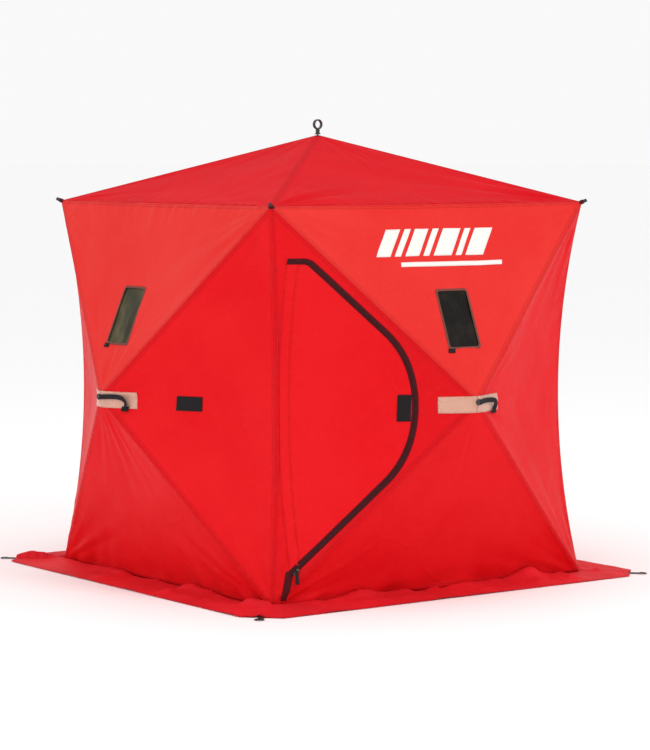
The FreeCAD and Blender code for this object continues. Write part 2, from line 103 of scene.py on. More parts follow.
class Shader:
    """A small helper that adds and joins the nodes of one procedural material."""

    def __init__(self, name):
        self.material = bpy.data.materials.new(name)
        self.material.use_nodes = True
        self.tree = self.material.node_tree
        self.surface = self.tree.nodes["Principled BSDF"]
        self.here = self.tree.nodes.new("ShaderNodeTexCoord").outputs["Object"]

    def add(self, kind, settings=None, **inputs):
        made = self.tree.nodes.new(kind)
        for key, value in (settings or {}).items():
            setattr(made, key, value)
        for key, value in inputs.items():
            self.put(made, key.replace("_", " "), value)
        return made

    def put(self, made, key, value):
        socket = made.inputs[int(key) if key.isdigit() else key]
        if isinstance(value, bpy.types.NodeSocket):
            self.tree.links.new(value, socket)
        else:
            socket.default_value = (*value, 1) if socket.type == "RGBA" else value

    def math(self, operation, a, b=0.0, c=0.0):
        made = self.tree.nodes.new("ShaderNodeMath")
        made.operation = operation
        for index, value in enumerate((a, b, c)):
            self.put(made, str(index), value)
        return made.outputs[0]

    def mix(self, share, first, second):
        made = self.tree.nodes.new("ShaderNodeMix")
        made.data_type = "RGBA"
        self.put(made, "0", share)
        self.put(made, "6", first)
        self.put(made, "7", second)
        return made.outputs[2]

    def noise(self, scale, detail, rough, stretch=None):
        vector = self.here
        if stretch:
            vector = self.add("ShaderNodeMapping", Vector=vector, Scale=stretch).outputs[0]
        return self.add("ShaderNodeTexNoise", Vector=vector, Scale=scale, Detail=detail,
                        Roughness=rough).outputs["Fac"]

    def ramp(self, value, low, high):
        return self.add("ShaderNodeMapRange", {"interpolation_type": "SMOOTHSTEP"}, Value=value,
                        From_Min=low, From_Max=high).outputs[0]

    def spread(self, value, low, high, lowest, highest):
        return self.add("ShaderNodeMapRange", Value=value, From_Min=low, From_Max=high,
                        To_Min=lowest, To_Max=highest).outputs[0]

    def stain(self, colour, value, low, high, share, other):
        """Lets up to a share of the other colour in where the value is above low."""
        return self.mix(self.math("MULTIPLY", self.ramp(value, low, high), share), colour, other)

    def bump(self, height, strength, distance, normal=None):
        made = self.add("ShaderNodeBump", Height=height, Strength=strength, Distance=distance)
        if normal is not None:
            self.put(made, "Normal", normal)
        return made.outputs[0]

    def finish(self, colour, roughness, normal, **inputs):
        inputs.update(Base_Color=colour, Roughness=roughness, Normal=normal)
        for key, value in inputs.items():
            self.put(self.surface, key.replace("_", " "), value)
        return self.material


WEAVE = 0.0012  # pitch of the cloth's threads
STITCH_ROWS, STITCH = (0.007, 0.017), 0.0016  # rows beside a seam, and half a row's width


def weave(shader, pitch):
    """Height of a plain weave: two crossed sets of threads."""
    warp = shader.add("ShaderNodeTexWave", {"bands_direction": "X"}, Vector=shader.here,
                      Scale=0.5 / pitch, Distortion=0.6).outputs["Fac"]
    weft = shader.add("ShaderNodeTexWave", {"bands_direction": "Z"}, Vector=shader.here,
                      Scale=0.5 / pitch, Distortion=0.6).outputs["Fac"]
    return shader.math("MULTIPLY", warp, weft)


def line_at(shader, distance, place, half_width):
    """1 on the line where distance is place, falling to 0 at half_width from it."""
    off = shader.math("ABSOLUTE", shader.math("SUBTRACT", distance, place))
    return shader.ramp(off, half_width, half_width * 0.4)


def cloth_material(name, base, bright, dark, roughness=0.42, shine=0.05):
    """Coated polyester: weave, mottling, packed-away creases and rows of stitching at the seams."""
    s = Shader(name)
    broad = s.noise(2.1, 3.0, 0.55)
    fine = s.noise(38.0, 4.0, 0.6)
    colour = s.mix(s.ramp(broad, 0.34, 0.68), dark, base)
    colour = s.stain(colour, fine, 0.5, 0.85, 0.30, bright)
    edge = s.add("ShaderNodeAttribute", {"attribute_name": "edge"}).outputs["Vector"]
    parts = s.add("ShaderNodeSeparateXYZ", Vector=edge)
    rim, ridge, run = parts.outputs[0], parts.outputs[1], parts.outputs[2]
    nearest = s.math("MINIMUM", rim, ridge)
    dash = s.math("PINGPONG", run, 0.0045)
    dashed = s.ramp(dash, 0.0011, 0.0017)
    rows = s.math("MAXIMUM", *(line_at(s, nearest, row, STITCH) for row in STITCH_ROWS))
    stitches = s.math("MULTIPLY", rows, dashed)
    seam = s.ramp(nearest, 0.0225, 0.0195)
    colour = s.mix(s.math("MULTIPLY", seam, 0.30), colour, dark)
    colour = s.mix(s.math("MULTIPLY", stitches, 0.65), colour, (0.16, 0.004, 0.008))
    crease_noise = s.noise(2.6, 2.0, 0.45)
    crease = s.ramp(s.math("ABSOLUTE", s.math("SUBTRACT", crease_noise, 0.5)), 0.012, 0.0)
    normal = s.bump(weave(s, WEAVE), 0.25, 0.0003)
    normal = s.bump(s.noise(9.0, 5.0, 0.55), 0.55, 0.006, normal)
    normal = s.bump(crease, 0.35, 0.0025, normal)
    normal = s.bump(s.math("ADD", seam, s.math("MULTIPLY", stitches, -0.6)), 0.5, 0.0012, normal)
    rough = s.spread(fine, 0.3, 0.7, roughness - 0.05, roughness + 0.07)
    return s.finish(colour, rough, normal, Sheen_Weight=0.01, Sheen_Roughness=0.4,
                    Sheen_Tint=(1.0, 0.6, 0.6), Specular_IOR_Level=shine)


def strap_material(name, base, thread, pitch=0.0022):
    """Webbing or tape: ribs across, a little fuzz and faded edges."""
    s = Shader(name)
    ribs = weave(s, pitch)
    fuzz = s.noise(240.0, 4.0, 0.7)
    colour = s.mix(s.ramp(ribs, 0.1, 0.8), base, thread)
    colour = s.stain(colour, fuzz, 0.5, 0.8, 0.4, thread)
    normal = s.bump(ribs, 0.7, 0.0006)
    normal = s.bump(fuzz, 0.4, 0.0004, normal)
    return s.finish(colour, 0.82, normal, Sheen_Weight=0.03, Specular_IOR_Level=0.12)


def plastic_material(name, base, scuffed, roughness, grain=160.0, coat=0.0):
    """Moulded plastic: fine grain, scuffs, uneven gloss."""
    s = Shader(name)
    scuff = s.noise(30.0, 6.0, 0.65, (1.0, 1.0, 4.0))
    colour = s.stain(base, scuff, 0.52, 0.75, 0.6, scuffed)
    rough = s.spread(scuff, 0.35, 0.7, roughness - 0.08, roughness + 0.12)
    normal = s.bump(s.noise(grain, 3.0, 0.6), 0.3, 0.0004)
    return s.finish(colour, rough, normal, Coat_Weight=coat)


def rod_material():
    """Pultruded fibreglass: fine dark mottle and pale bands under a thin clear skin."""
    s = Shader("fibreglass")
    fibres = s.noise(420.0, 4.0, 0.7)
    bands = s.noise(6.0, 2.0, 0.5)
    colour = s.mix(s.ramp(fibres, 0.4, 0.75), (0.012, 0.012, 0.014), (0.055, 0.055, 0.06))
    colour = s.stain(colour, bands, 0.45, 0.7, 0.35, (0.09, 0.088, 0.085))
    return s.finish(colour, 0.32, s.bump(fibres, 0.25, 0.0003), Coat_Weight=0.35,
                    Coat_Roughness=0.2)


def reflective_material():
    """Beaded reflective tape: warm silver with a honeycomb of welds and a faded border."""
    s = Shader("reflective_tape")
    cells = s.add("ShaderNodeTexVoronoi", {"feature": "DISTANCE_TO_EDGE"}, Vector=s.here,
                  Scale=190.0).outputs["Distance"]
    grid = s.ramp(cells, 0.0, 0.12)
    dirt = s.noise(22.0, 5.0, 0.6)
    colour = s.mix(grid, (0.44, 0.22, 0.15), (0.70, 0.38, 0.28))
    colour = s.stain(colour, dirt, 0.45, 0.75, 0.45, (0.54, 0.24, 0.17))
    return s.finish(colour, 0.42, s.bump(grid, 0.4, 0.0005), Metallic=0.15, Sheen_Weight=0.3)


def print_material():
    """White screen print: ink that is thin over the threads and lightly cracked."""
    s = Shader("white_print")
    wear = s.noise(60.0, 6.0, 0.7)
    cracks = s.noise(9.0, 4.0, 0.6)
    colour = s.stain((0.84, 0.81, 0.77), wear, 0.58, 0.72, 0.5, (0.80, 0.42, 0.38))
    colour = s.stain(colour, cracks, 0.6, 0.75, 0.25, (0.75, 0.62, 0.55))
    return s.finish(colour, 0.6, s.bump(weave(s, WEAVE), 0.3, 0.0003))


def vinyl_material(name, tint, haze):
    """Tinted window vinyl: glossy, hazed and rippled from being rolled up."""
    s = Shader(name)
    cloud = s.noise(12.0, 5.0, 0.6, (1.0, 1.0, 0.6))
    colour = s.mix(s.ramp(cloud, 0.38, 0.72), tint, haze)
    rough = s.spread(cloud, 0.3, 0.7, 0.34, 0.52)
    normal = s.bump(s.noise(14.0, 3.0, 0.5), 0.5, 0.004)
    return s.finish(colour, rough, normal, Coat_Weight=0.03, Coat_Roughness=0.25,
                    Specular_IOR_Level=0.10)


def metal_material():
    """Lacquered die-cast zinc, worn bright on its edges."""
    s = Shader("lacquered_zinc")
    wear = s.noise(260.0, 5.0, 0.65)
    colour = s.mix(s.ramp(wear, 0.5, 0.68), (0.035, 0.02, 0.018), (0.36, 0.33, 0.24))
    return s.finish(colour, 0.36, s.bump(wear, 0.3, 0.0003), Metallic=0.75)


RED = (0.73, 0.010, 0.014)
WALL_CLOTH = cloth_material("wall_cloth", RED, (0.80, 0.024, 0.028), (0.70, 0.006, 0.010))
# a pinker copy of the wall cloth for the top panels: painted sheen, the light that falls on these
# upward-facing facets
UPPER_CLOTH_PAINTED_SHEEN = cloth_material(
    "upper_wall_cloth", (0.73, 0.034, 0.028), (0.80, 0.050, 0.046), (0.71, 0.026, 0.022))
# a darker copy of the wall cloth for the door wall's surround: painted shade, the shadow of the poles
# over it
SURROUND_CLOTH_PAINTED_SHADE = cloth_material(
    "surround_cloth", (0.70, 0.007, 0.011), (0.76, 0.024, 0.028), (0.65, 0.006, 0.010))
ROOF_CLOTH = cloth_material(
    "roof_cloth", (0.64, 0.006, 0.012), (0.74, 0.026, 0.034), (0.60, 0.005, 0.011), 0.72, 0.05)
SKIRT_CLOTH = cloth_material(
    "skirt_cloth", (0.76, 0.012, 0.021), (0.82, 0.04, 0.05), (0.62, 0.008, 0.016), 0.66, 0.12)
BLACK_CLOTH = strap_material("black_hook_and_loop", (0.010, 0.009, 0.010), (0.030, 0.026, 0.026))
WEBBING = strap_material("black_webbing", (0.012, 0.010, 0.013), (0.045, 0.038, 0.045))
MAROON_TAPE = strap_material("maroon_tape", (0.060, 0.005, 0.008), (0.12, 0.010, 0.014))
BINDING = strap_material("brown_binding", (0.16, 0.05, 0.04), (0.26, 0.09, 0.07))
COIL = plastic_material("zip_coil", (0.022, 0.004, 0.005), (0.07, 0.02, 0.02), 0.5)
HUB_PLASTIC = plastic_material("hub_nylon", (0.016, 0.016, 0.018), (0.07, 0.07, 0.075), 0.45)
CAP_PLASTIC = plastic_material(
    "cap_plastic", (0.008, 0.008, 0.009), (0.05, 0.05, 0.05), 0.35, coat=0.2)
FIBREGLASS = rod_material()
REFLECTIVE = reflective_material()
PRINT = print_material()
DARK_VINYL = vinyl_material("dark_vinyl", (0.004, 0.003, 0.002), (0.018, 0.013, 0.008))
OLIVE_VINYL = vinyl_material("olive_vinyl", (0.030, 0.028, 0.012), (0.10, 0.085, 0.038))
ZINC = metal_material()


# ---- mesh helpers

def make_piece(name, points, faces, material, thickness=0.0, edges=None):
    mesh = bpy.data.meshes.new(name)
    mesh.from_pydata([tuple(p) for p in points], [], faces)
    if edges is not None:
        layer = mesh.attributes.new("edge", "FLOAT_VECTOR", "POINT")
        layer.data.foreach_set("vector", [value for edge in edges for value in edge])
    mesh.validate()
    mesh.update()
    mesh.polygons.foreach_set("use_smooth", [True] * len(mesh.polygons))
    mesh.materials.append(material)
    piece = bpy.data.objects.new(name, mesh)
    scene.collection.objects.link(piece)
    if thickness:
        shell = piece.modifiers.new("cloth thickness", "SOLIDIFY")
        shell.thickness = thickness
        shell.offset = -1
    return piece


def flat_area(points, faces):
    """Area of a triangulated sheet."""
    total = 0.0
    for face in faces:
        a, b, c = (Vector(points[i]) for i in face)
        total += (b - a).cross(c - a).length / 2
    return total


def facing(points, faces, way):
    """The triangles, each turned over where its front doesn't look the given way."""
    fronts = []
    for face in faces:
        a, b, c = (Vector(points[i]) for i in face)
        fronts.append(face if (b - a).cross(c - a).dot(way) > 0 else face[::-1])
    return fronts


def grid_faces(rows, columns):
    """Faces of an open grid of points."""
    return [(r * columns + c, r * columns + c + 1, (r + 1) * columns + c + 1, (r + 1) * columns + c)
            for r in range(rows - 1) for c in range(columns - 1)]


def round_faces(rounds, count, first=0):
    """Faces between each of some closed rounds of points and the next."""
    return [tuple(first + k for k in (r * count + i, r * count + (i + 1) % count,
                                      (r + 1) * count + (i + 1) % count, (r + 1) * count + i))
            for r in rounds for i in range(count)]


def chain(first, count, closed=True):
    """Edges along a run of points; a closed run comes back to its first point."""
    edges = [(i - 1, i) for i in range(first + 1, first + count)]
    return edges + [(first + count - 1, first)] if closed else edges


# ---- the cloth panels

SAG = 0.012  # how far each panel is drawn in between its poles
PULL_LINES = 0.026  # folds that run out from the corners and hubs
PUCKER = 0.009  # gathers along the rims
FOOT_FOLD = 0.026  # deeper folds where the slack foot of a wall meets the ice
UNEVEN = 0.009  # broad unevenness of the cloth

class Panel:
    """One triangular panel, in the front wall's frame, from a straight or curved rim to the hub."""

    def __init__(self, wall, part, quarter, seed):
        self.name = f"{wall}_panel_{part}"
        self.part, self.quarter = part, quarter
        self.seed = Vector((seed * 7.31, seed * 3.17, seed * 5.77))
        self.roof = wall == "roof"
        self.tip = Vector((0, 0, APEX)) if self.roof else Vector((0, -HALF - REACH, HUB_Z))
        self.ends = (self.rim(0.0), self.rim(1.0))
        outward = (self.ends[1] - self.tip).cross(self.ends[0] - self.tip).normalized()
        away = Vector((0, -0.2, 1)) if self.roof else Vector((0, -1, 0))
        self.outward = outward if outward.dot(away) > 0 else -outward

    def rim(self, share):
        """The outer edge, share of the way from its first corner to its second."""
        if self.roof or self.part == "top":
            return Vector((HALF * (2 * share - 1), -HALF, EAVE))
        if self.part == "bottom":
            return Vector((HALF * (2 * share - 1), -HALF, BASE))
        pull = CORNER_PULL * 4 * share * (1 - share)
        side = -1 if self.part == "left" else 1
        return Vector((side * (HALF - pull), -HALF + pull, BASE + share * (EAVE - BASE)))

    def flat(self, point):
        """A point of the panel in its own two-way plan: the wall seen square on, or the roof."""
        return (point.x, point.y) if self.roof else (point.x, point.z)

    def locate(self, a, b):
        """Shares of the way from tip to rim, and along the rim, of a point of the plan."""
        if self.roof:
            out = max(-b / HALF, 1e-6)
            return out, (a / out / HALF + 1) / 2
        if self.part in ("top", "bottom"):
            height = EAVE if self.part == "top" else BASE
            out = max((b - HUB_Z) / (height - HUB_Z), 1e-6)
            return out, (a / out / HALF + 1) / 2
        side = -1 if self.part == "left" else 1
        rise = side * (b - HUB_Z)
        square = 4 * CORNER_PULL * rise
        linear = -(square + a * (EAVE - BASE))
        constant = rise * HALF - a * (BASE - HUB_Z)
        root = math.sqrt(max(linear * linear - 4 * square * constant, 0.0))
        along = 2 * constant / (-linear + math.copysign(root, -linear))
        return a / self.rim(along).x, along

    def edge_distances(self, out, along, base):
        """How far a point is from the rim and from the nearer ridge, and how far along its edge."""
        offset = base - self.tip
        ridges = [(end - self.tip).normalized() for end in self.ends]
        ridge = min((offset - line * offset.dot(line)).length for line in ridges)
        rim = (1 - out) * (self.rim(along) - self.tip).length
        run = offset.length if ridge < rim else along * 2 * HALF
        return rim, ridge, run

    def lift(self, out, along, base, rim, ridge):
        """How far the cloth stands off the flat panel: sag, pull lines, puckers, unevenness."""
        share = min(1.0, max(0.0, along))
        sag = -SAG * 27 * (1 - out) * out * out * share * (1 - share)
        folds = 0.0
        sources = ((self.ends[0], 0.34, PULL_LINES), (self.ends[1], 0.34, PULL_LINES),
                   (self.tip, 0.20, PULL_LINES * 0.6))
        for index, (corner, reach, size) in enumerate(sources):
            ray = base - corner
            far = ray.length
            if far > 4 * reach or far < 1e-4:
                continue
            direction = ray / far
            wave = noise.noise(direction * 8.5 + self.seed + Vector((index * 9.1, far * 0.8, 0)))
            folds += size * wave * math.exp(-far / reach) * (1 - math.exp(-far / 0.06))
        pucker = 0.0
        if rim < 0.4:
            foot = self.part == "bottom" and not self.roof
            rim_run = Vector((along * 2 * HALF / (0.11 if foot else 0.045), rim * 3.0, 1.7))
            size, reach = (FOOT_FOLD, 0.11) if foot else (PUCKER, 0.06)
            pucker = size * math.exp(-rim / reach) * noise.noise(rim_run + self.seed)
        place = base + self.seed
        broad = UNEVEN * noise.noise(place * 2.6) + UNEVEN * 0.35 * noise.noise(place * 8.0)
        held = smooth(min(rim, ridge) / 0.07)
        return sag + (folds + broad) * held + pucker * smooth(ridge / 0.05) * smooth(rim / 0.02)

    def place(self, a, b, lift=0.0):
        """A point of the hung cloth in the world's frame, and its distances from the edges."""
        out, along = self.locate(a, b)
        base = self.tip + (self.rim(along) - self.tip) * out
        distances = self.edge_distances(out, along, base)
        stand = self.lift(out, along, base, *distances[:2]) + lift
        return turned(base + self.outward * stand, self.quarter), distances

    def point(self, a, b, lift=0.0):
        """A point over the hung cloth, lifted outward."""
        return self.place(a, b, lift)[0]

    def border(self):
        """Points round the plan, evenly spaced so that neighbours share them."""
        steps = round((self.ends[0] - self.tip).length / MESH_STEP)
        corners = [self.tip + (self.ends[0] - self.tip) * (i / steps) for i in range(steps)]
        corners += [self.rim(i / steps) for i in range(steps)]
        corners += [self.ends[1] + (self.tip - self.ends[1]) * (i / steps) for i in range(steps)]
        return [self.flat(p) for p in corners]

    def start_and_end(self, zone):
        """Where the cloth starts to leave its rim, and where it wholly follows the panel."""
        toward = {"top": (0, -1, -1), "bottom": (0, -1, 1), "left": (1, -1, 0), "right": (-1, -1, 0)}
        way = Vector((0, 1, 1)) if self.roof else Vector(toward[self.part])
        start = Vector((0, -HALF, EAVE)) if self.roof else Vector(self.ends[0])
        return (turned(start, self.quarter),
                turned(start + way.normalized() * zone, self.quarter))


def inside(point, loop):
    """Whether a plan point is inside a closed loop of plan points."""
    x, y = point
    odd = False
    for (x1, y1), (x2, y2) in zip(loop, loop[1:] + loop[:1]):
        if (y1 > y) != (y2 > y) and x < (x2 - x1) * (y - y1) / (y2 - y1) + x1:
            odd = not odd
    return odd


def triangles(points, edges, keep):
    """Triangles between plan points that follow the edges, where keep takes their middles."""
    made = geometry.delaunay_2d_cdt(points, edges, [], 0, 1e-6)
    plan = [tuple(p) for p in made[0]]
    faces = []
    for face in made[2]:
        middle = tuple(sum(plan[i][k] for i in face) / 3 for k in range(2))
        if keep(middle):
            faces.append((tuple(face), middle))
    return plan, faces


def triangulate(panel, loops=(), lines=()):
    """Cuts the panel's plan into triangles that keep to its border and to the given outlines."""
    border = panel.border()
    points, edges = [], []
    for path, closed in [(border, True), *((p, True) for p in loops), *((p, False) for p in lines)]:
        edges += chain(len(points), len(path), closed)
        points += [Vector(p) for p in path]
    low_a, high_a = min(p[0] for p in border), max(p[0] for p in border)
    low_b, high_b = min(p[1] for p in border), max(p[1] for p in border)
    rows = int((high_b - low_b) / (MESH_STEP * ROW_SHARE))
    fixed = {}
    for p in points:
        fixed.setdefault((int(p[0] // MESH_STEP), int(p[1] // MESH_STEP)), []).append(p)
    for row in range(1, rows):
        b = low_b + row * MESH_STEP * ROW_SHARE
        shift = MESH_STEP / 2 if row % 2 else 0.0
        for column in range(int((high_a - low_a) / MESH_STEP) + 1):
            a = low_a + shift + column * MESH_STEP
            cell = (int(a // MESH_STEP), int(b // MESH_STEP))
            near = (p for i in (-1, 0, 1) for j in (-1, 0, 1)
                    for p in fixed.get((cell[0] + i, cell[1] + j), ()))
            if any((p - Vector((a, b))).length < MESH_STEP * 0.6 for p in near):
                continue
            if inside((a, b), border):
                points.append(Vector((a, b)))
    return triangles(points, edges, lambda middle: inside(middle, border))


def hang(panel, plan, faces, name, material):
    """Makes one piece of hung cloth out of some triangles of a panel's plan."""
    used = sorted({i for face in faces for i in face})
    order = {old: new for new, old in enumerate(used)}
    points, edges = zip(*(panel.place(*plan[index]) for index in used))
    kept = facing(points, [tuple(order[i] for i in face) for face in faces],
                  turned(panel.outward, panel.quarter))
    piece = make_piece(name, points, kept, material, CLOTH, edges)
    return piece, flat_area(points, kept)


def window_loop(grow=0.0):
    """The window opening on the plan of an upper panel, with rounded corners."""
    half_wide = WINDOW_HALF_WIDE + grow
    half_long = (WINDOW_HALF_LONG + grow) * UPPER_SLOPE
    radius = 0.010 + max(grow, 0.0)
    loop = []
    for corner, (sx, sz) in enumerate(((1, 1), (-1, 1), (-1, -1), (1, -1))):
        for step in range(5):
            angle = math.radians(90 * corner + 22.5 * step)
            loop.append((sx * (half_wide - radius) + radius * math.cos(angle),
                         WINDOW_Z + sz * (half_long - radius) + radius * math.sin(angle)))
    return loop


def spaced(points, step):
    """Points at an even spacing along a path of plan points, ends included."""
    lengths = [0.0]
    for first, second in zip(points, points[1:]):
        lengths.append(lengths[-1] + math.dist(first, second))
    count = max(2, round(lengths[-1] / step))
    result, leg = [], 0
    for index in range(count + 1):
        want = lengths[-1] * index / count
        while leg < len(points) - 2 and lengths[leg + 1] < want:
            leg += 1
        share = (want - lengths[leg]) / max(lengths[leg + 1] - lengths[leg], 1e-9)
        result.append(tuple(points[leg][k] + (points[leg + 1][k] - points[leg][k]) * share
                            for k in range(2)))
    return result


def arc(before, corner, after, radius, steps):
    """A rounded corner between two straight runs, as plan points."""
    first = (Vector(before) - Vector(corner)).normalized()
    second = (Vector(after) - Vector(corner)).normalized()
    half_turn = first.angle(second) / 2
    trim = radius / math.tan(half_turn)
    centre = Vector(corner) + (first + second).normalized() * (radius / math.sin(half_turn))
    start = Vector(corner) + first * trim - centre
    sweep = (Vector(corner) + second * trim - centre).angle_signed(start)
    return [tuple(centre + Matrix.Rotation(sweep * i / steps, 2) @ start) for i in range(steps + 1)]


def zip_path():
    """The zip from the top of the fold line round the door to its sill, as plan points."""
    top, sill = (FOLD_X, DOOR_TOP), (FOLD_X, DOOR_SILL)
    shoulder = (-0.720, DOOR_TOP)
    path = [top] + arc(top, shoulder, DOOR_POINT, 0.050, 8) + arc(shoulder, DOOR_POINT, sill, 0.460, 24)
    return spaced(path + [sill], 0.010)


ZIP = zip_path()
DOOR_LOOP = ZIP + spaced([(FOLD_X, DOOR_SILL), (FOLD_X, DOOR_TOP)], MESH_STEP)[1:-1]
BAND_FOOT = DOOR_SILL + ((BAND_X - FOLD_X) * (DOOR_POINT[1] - DOOR_SILL)
                        / (DOOR_POINT[0] - FOLD_X))
BAND_LINE = spaced([(BAND_X, BAND_FOOT), (BAND_X, DOOR_TOP)], MESH_STEP)

PANELS = {}
for quarter, wall in enumerate(WALLS):
    for place, part in enumerate(("top", "bottom", "left", "right")):
        PANELS[f"{wall}_panel_{part}"] = Panel(wall, part, quarter, 5 * quarter + place)
    PANELS[f"roof_panel_{wall}"] = Panel("roof", wall, quarter, 5 * quarter + 4)
DOOR_WALL = PANELS["front_panel_left"]


def follow_panel(piece, name):
    """Bakes the piece's place into its mesh; the bend zone beside its panel's seam is worked out but not
    used.
    """
    zone = DOOR_SEAM_ZONE if name.startswith("front") else SEAM_ZONE
    start, end = PANELS[name].start_and_end(zone)
    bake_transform(piece)


def follow_band(piece):
    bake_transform(piece)


def follow_flap(piece):
    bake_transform(piece)


cloths = {}
for name, panel in PANELS.items():
    openings, lines = [], []
    if panel is DOOR_WALL:
        openings, lines = [DOOR_LOOP], [BAND_LINE]
        # the door wall's surround takes the painted-shade copy of the wall cloth
        material = SURROUND_CLOTH_PAINTED_SHADE
    elif panel.roof:
        material = ROOF_CLOTH
    else:
        # the top panels take the painted-sheen copy of the wall cloth
        material = UPPER_CLOTH_PAINTED_SHEEN if panel.part == "top" else WALL_CLOTH
    if name in ("front_panel_top", "left_panel_top"):
        openings = [window_loop()]
    plan, faces = triangulate(panel, openings, lines)
    outer = [f for f, middle in faces if not any(inside(middle, loop) for loop in openings)]
    cloths[name] = hang(panel, plan, outer, name.replace("panel", "cloth"), material)
    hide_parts(name)
    follow_panel(cloths[name][0], name)
    if panel is DOOR_WALL:
        door = [(f, middle[0]) for f, middle in faces if inside(middle, DOOR_LOOP)]
        for part, follow, own in (("band", follow_band, [f for f, a in door if a < BAND_X]),
                                  ("flap", follow_flap, [f for f, a in door if a > BAND_X])):
            cloth, area = hang(panel, plan, own, f"door_cloth_{part}", WALL_CLOTH)
            cloths[f"door_{part}"] = cloth, area
            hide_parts(f"door_{part}")
            follow(cloth)


# ---- ribbons, patches and prints

def wall_point(wall, a, b, lift):
    """A point over the cloth of a wall, on whichever of its four panels lies there."""
    edge = EAVE if b > HUB_Z else BASE
    beyond = abs(b - HUB_Z) / abs(edge - HUB_Z) > abs(a) / HALF
    part = ("top" if b > HUB_Z else "bottom") if beyond else ("left" if a < 0 else "right")
    return PANELS[f"{wall}_panel_{part}"].point(a, b, lift)


def patch(name, surface, a_range, b_range, lift, material, thickness, step=0.008, slant=0.0,
          bulge=0.0):
    """A sewn-on or printed rectangle that follows the cloth; slant leans it, bulge lifts its middle."""
    columns = max(3, round((a_range[1] - a_range[0]) / step) + 1)
    rows = max(3, round((b_range[1] - b_range[0]) / step) + 1)
    points = []
    for r in range(rows):
        up = r / (rows - 1)
        for c in range(columns):
            over = c / (columns - 1)
            a = a_range[0] + (a_range[1] - a_range[0]) * over + slant * (up - 0.5)
            b = b_range[0] + (b_range[1] - b_range[0]) * up
            swell = bulge * 16 * up * (1 - up) * over * (1 - over)
            points.append(surface(a, b, lift + swell))
    return make_piece(name, points, grid_faces(rows, columns), material, thickness)


def outward_normals(path):
    """The unit normal of a plan path at each point, to the right of its direction."""
    result = []
    for index in range(len(path)):
        before, after = path[max(index - 1, 0)], path[min(index + 1, len(path) - 1)]
        along = (Vector(after) - Vector(before)).normalized()
        result.append(Vector((along.y, -along.x)))
    return result


def tape(name, path, normals, near, far, lift, material, follow):
    """A tape beside a path on the door wall, from near to far out along its normals."""
    points = []
    for place, normal in zip(path, normals):
        for share in (0.0, 0.5, 1.0):
            spot = Vector(place) + normal * (near + (far - near) * share)
            points.append(DOOR_WALL.point(spot.x, spot.y, lift + 0.0004 * (1 - abs(2 * share - 1))))
    piece = make_piece(name, points, grid_faces(len(path), 3), material, 0.0008)
    follow(piece)
    return piece


def teeth(name, path, side, follow):
    """One side's row of coil loops, each a small bent bar across the edge of its tape."""
    points, faces = [], []
    pitch_path = spaced(path, 0.0042)
    for index in range(len(pitch_path) - 1):
        first, second = Vector(pitch_path[index]), Vector(pitch_path[index + 1])
        along = (second - first).normalized()
        out = Vector((along.y, -along.x)) * side
        centre = first + along * (0.0010 if side > 0 else 0.0031)
        base = len(points)
        for reach, height in ((-0.0012, 0.0016), (0.0012, 0.0032), (0.0042, 0.0014)):
            for across, rise in ((-0.0009, 0.0), (0.0009, 0.0), (0.0006, 0.0013), (-0.0006, 0.0013)):
                spot = centre + out * reach + along * across
                points.append(DOOR_WALL.point(spot.x, spot.y, height + rise))
        faces += round_faces(range(2), 4, base)
        faces += [(base + 3, base + 2, base + 1, base), (base + 8, base + 9, base + 10, base + 11)]
    piece = make_piece(name, points, faces, COIL)
    follow(piece)
    return piece


follow_door_wall = partial(follow_panel, name="front_panel_left")
on_flap = [index for index, (a, _) in enumerate(ZIP) if a > BAND_X]
first_flap, last_flap = on_flap[0], on_flap[-1]
normals = outward_normals(ZIP)
within = Vector(ZIP[40]) - normals[40] * 0.02
side_out = 1 if inside(within, DOOR_LOOP) else -1
outward = [n * side_out for n in normals]
outer_zip = [tape("zip_tape_surround", ZIP, outward, 0.0006, TAPE, LAY, MAROON_TAPE,
                  follow_door_wall),
             teeth("zip_coil_surround", ZIP, side_out, follow_door_wall)]
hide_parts("door_zipper")
inner_runs = {
    "top_band": (ZIP[:first_flap + 1], outward[:first_flap + 1], follow_band),
    "flap": (ZIP[first_flap:last_flap + 1], outward[first_flap:last_flap + 1], follow_flap),
    "sill_band": (ZIP[last_flap:], outward[last_flap:], follow_band)}
for run, (path, away, follow) in inner_runs.items():
    tape(f"zip_tape_{run}", path, away, -0.0006, -TAPE, LAY, MAROON_TAPE, follow)
    teeth(f"zip_coil_{run}", path, -side_out, follow)

# ---- windows

def ring_piece(name, surface, outer, inner, lift, crown, material, thickness):
    """A binding round an opening: three rounds of points, the middle one raised by crown."""
    points = []
    for share in (0.0, 0.5, 1.0):
        for (oa, ob), (ia, ib) in zip(outer, inner):
            rise = crown * (1 - abs(2 * share - 1))
            points.append(surface(oa + (ia - oa) * share, ob + (ib - ob) * share, lift + rise))
    return make_piece(name, points, round_faces(range(2), len(outer)), material,
                      thickness)


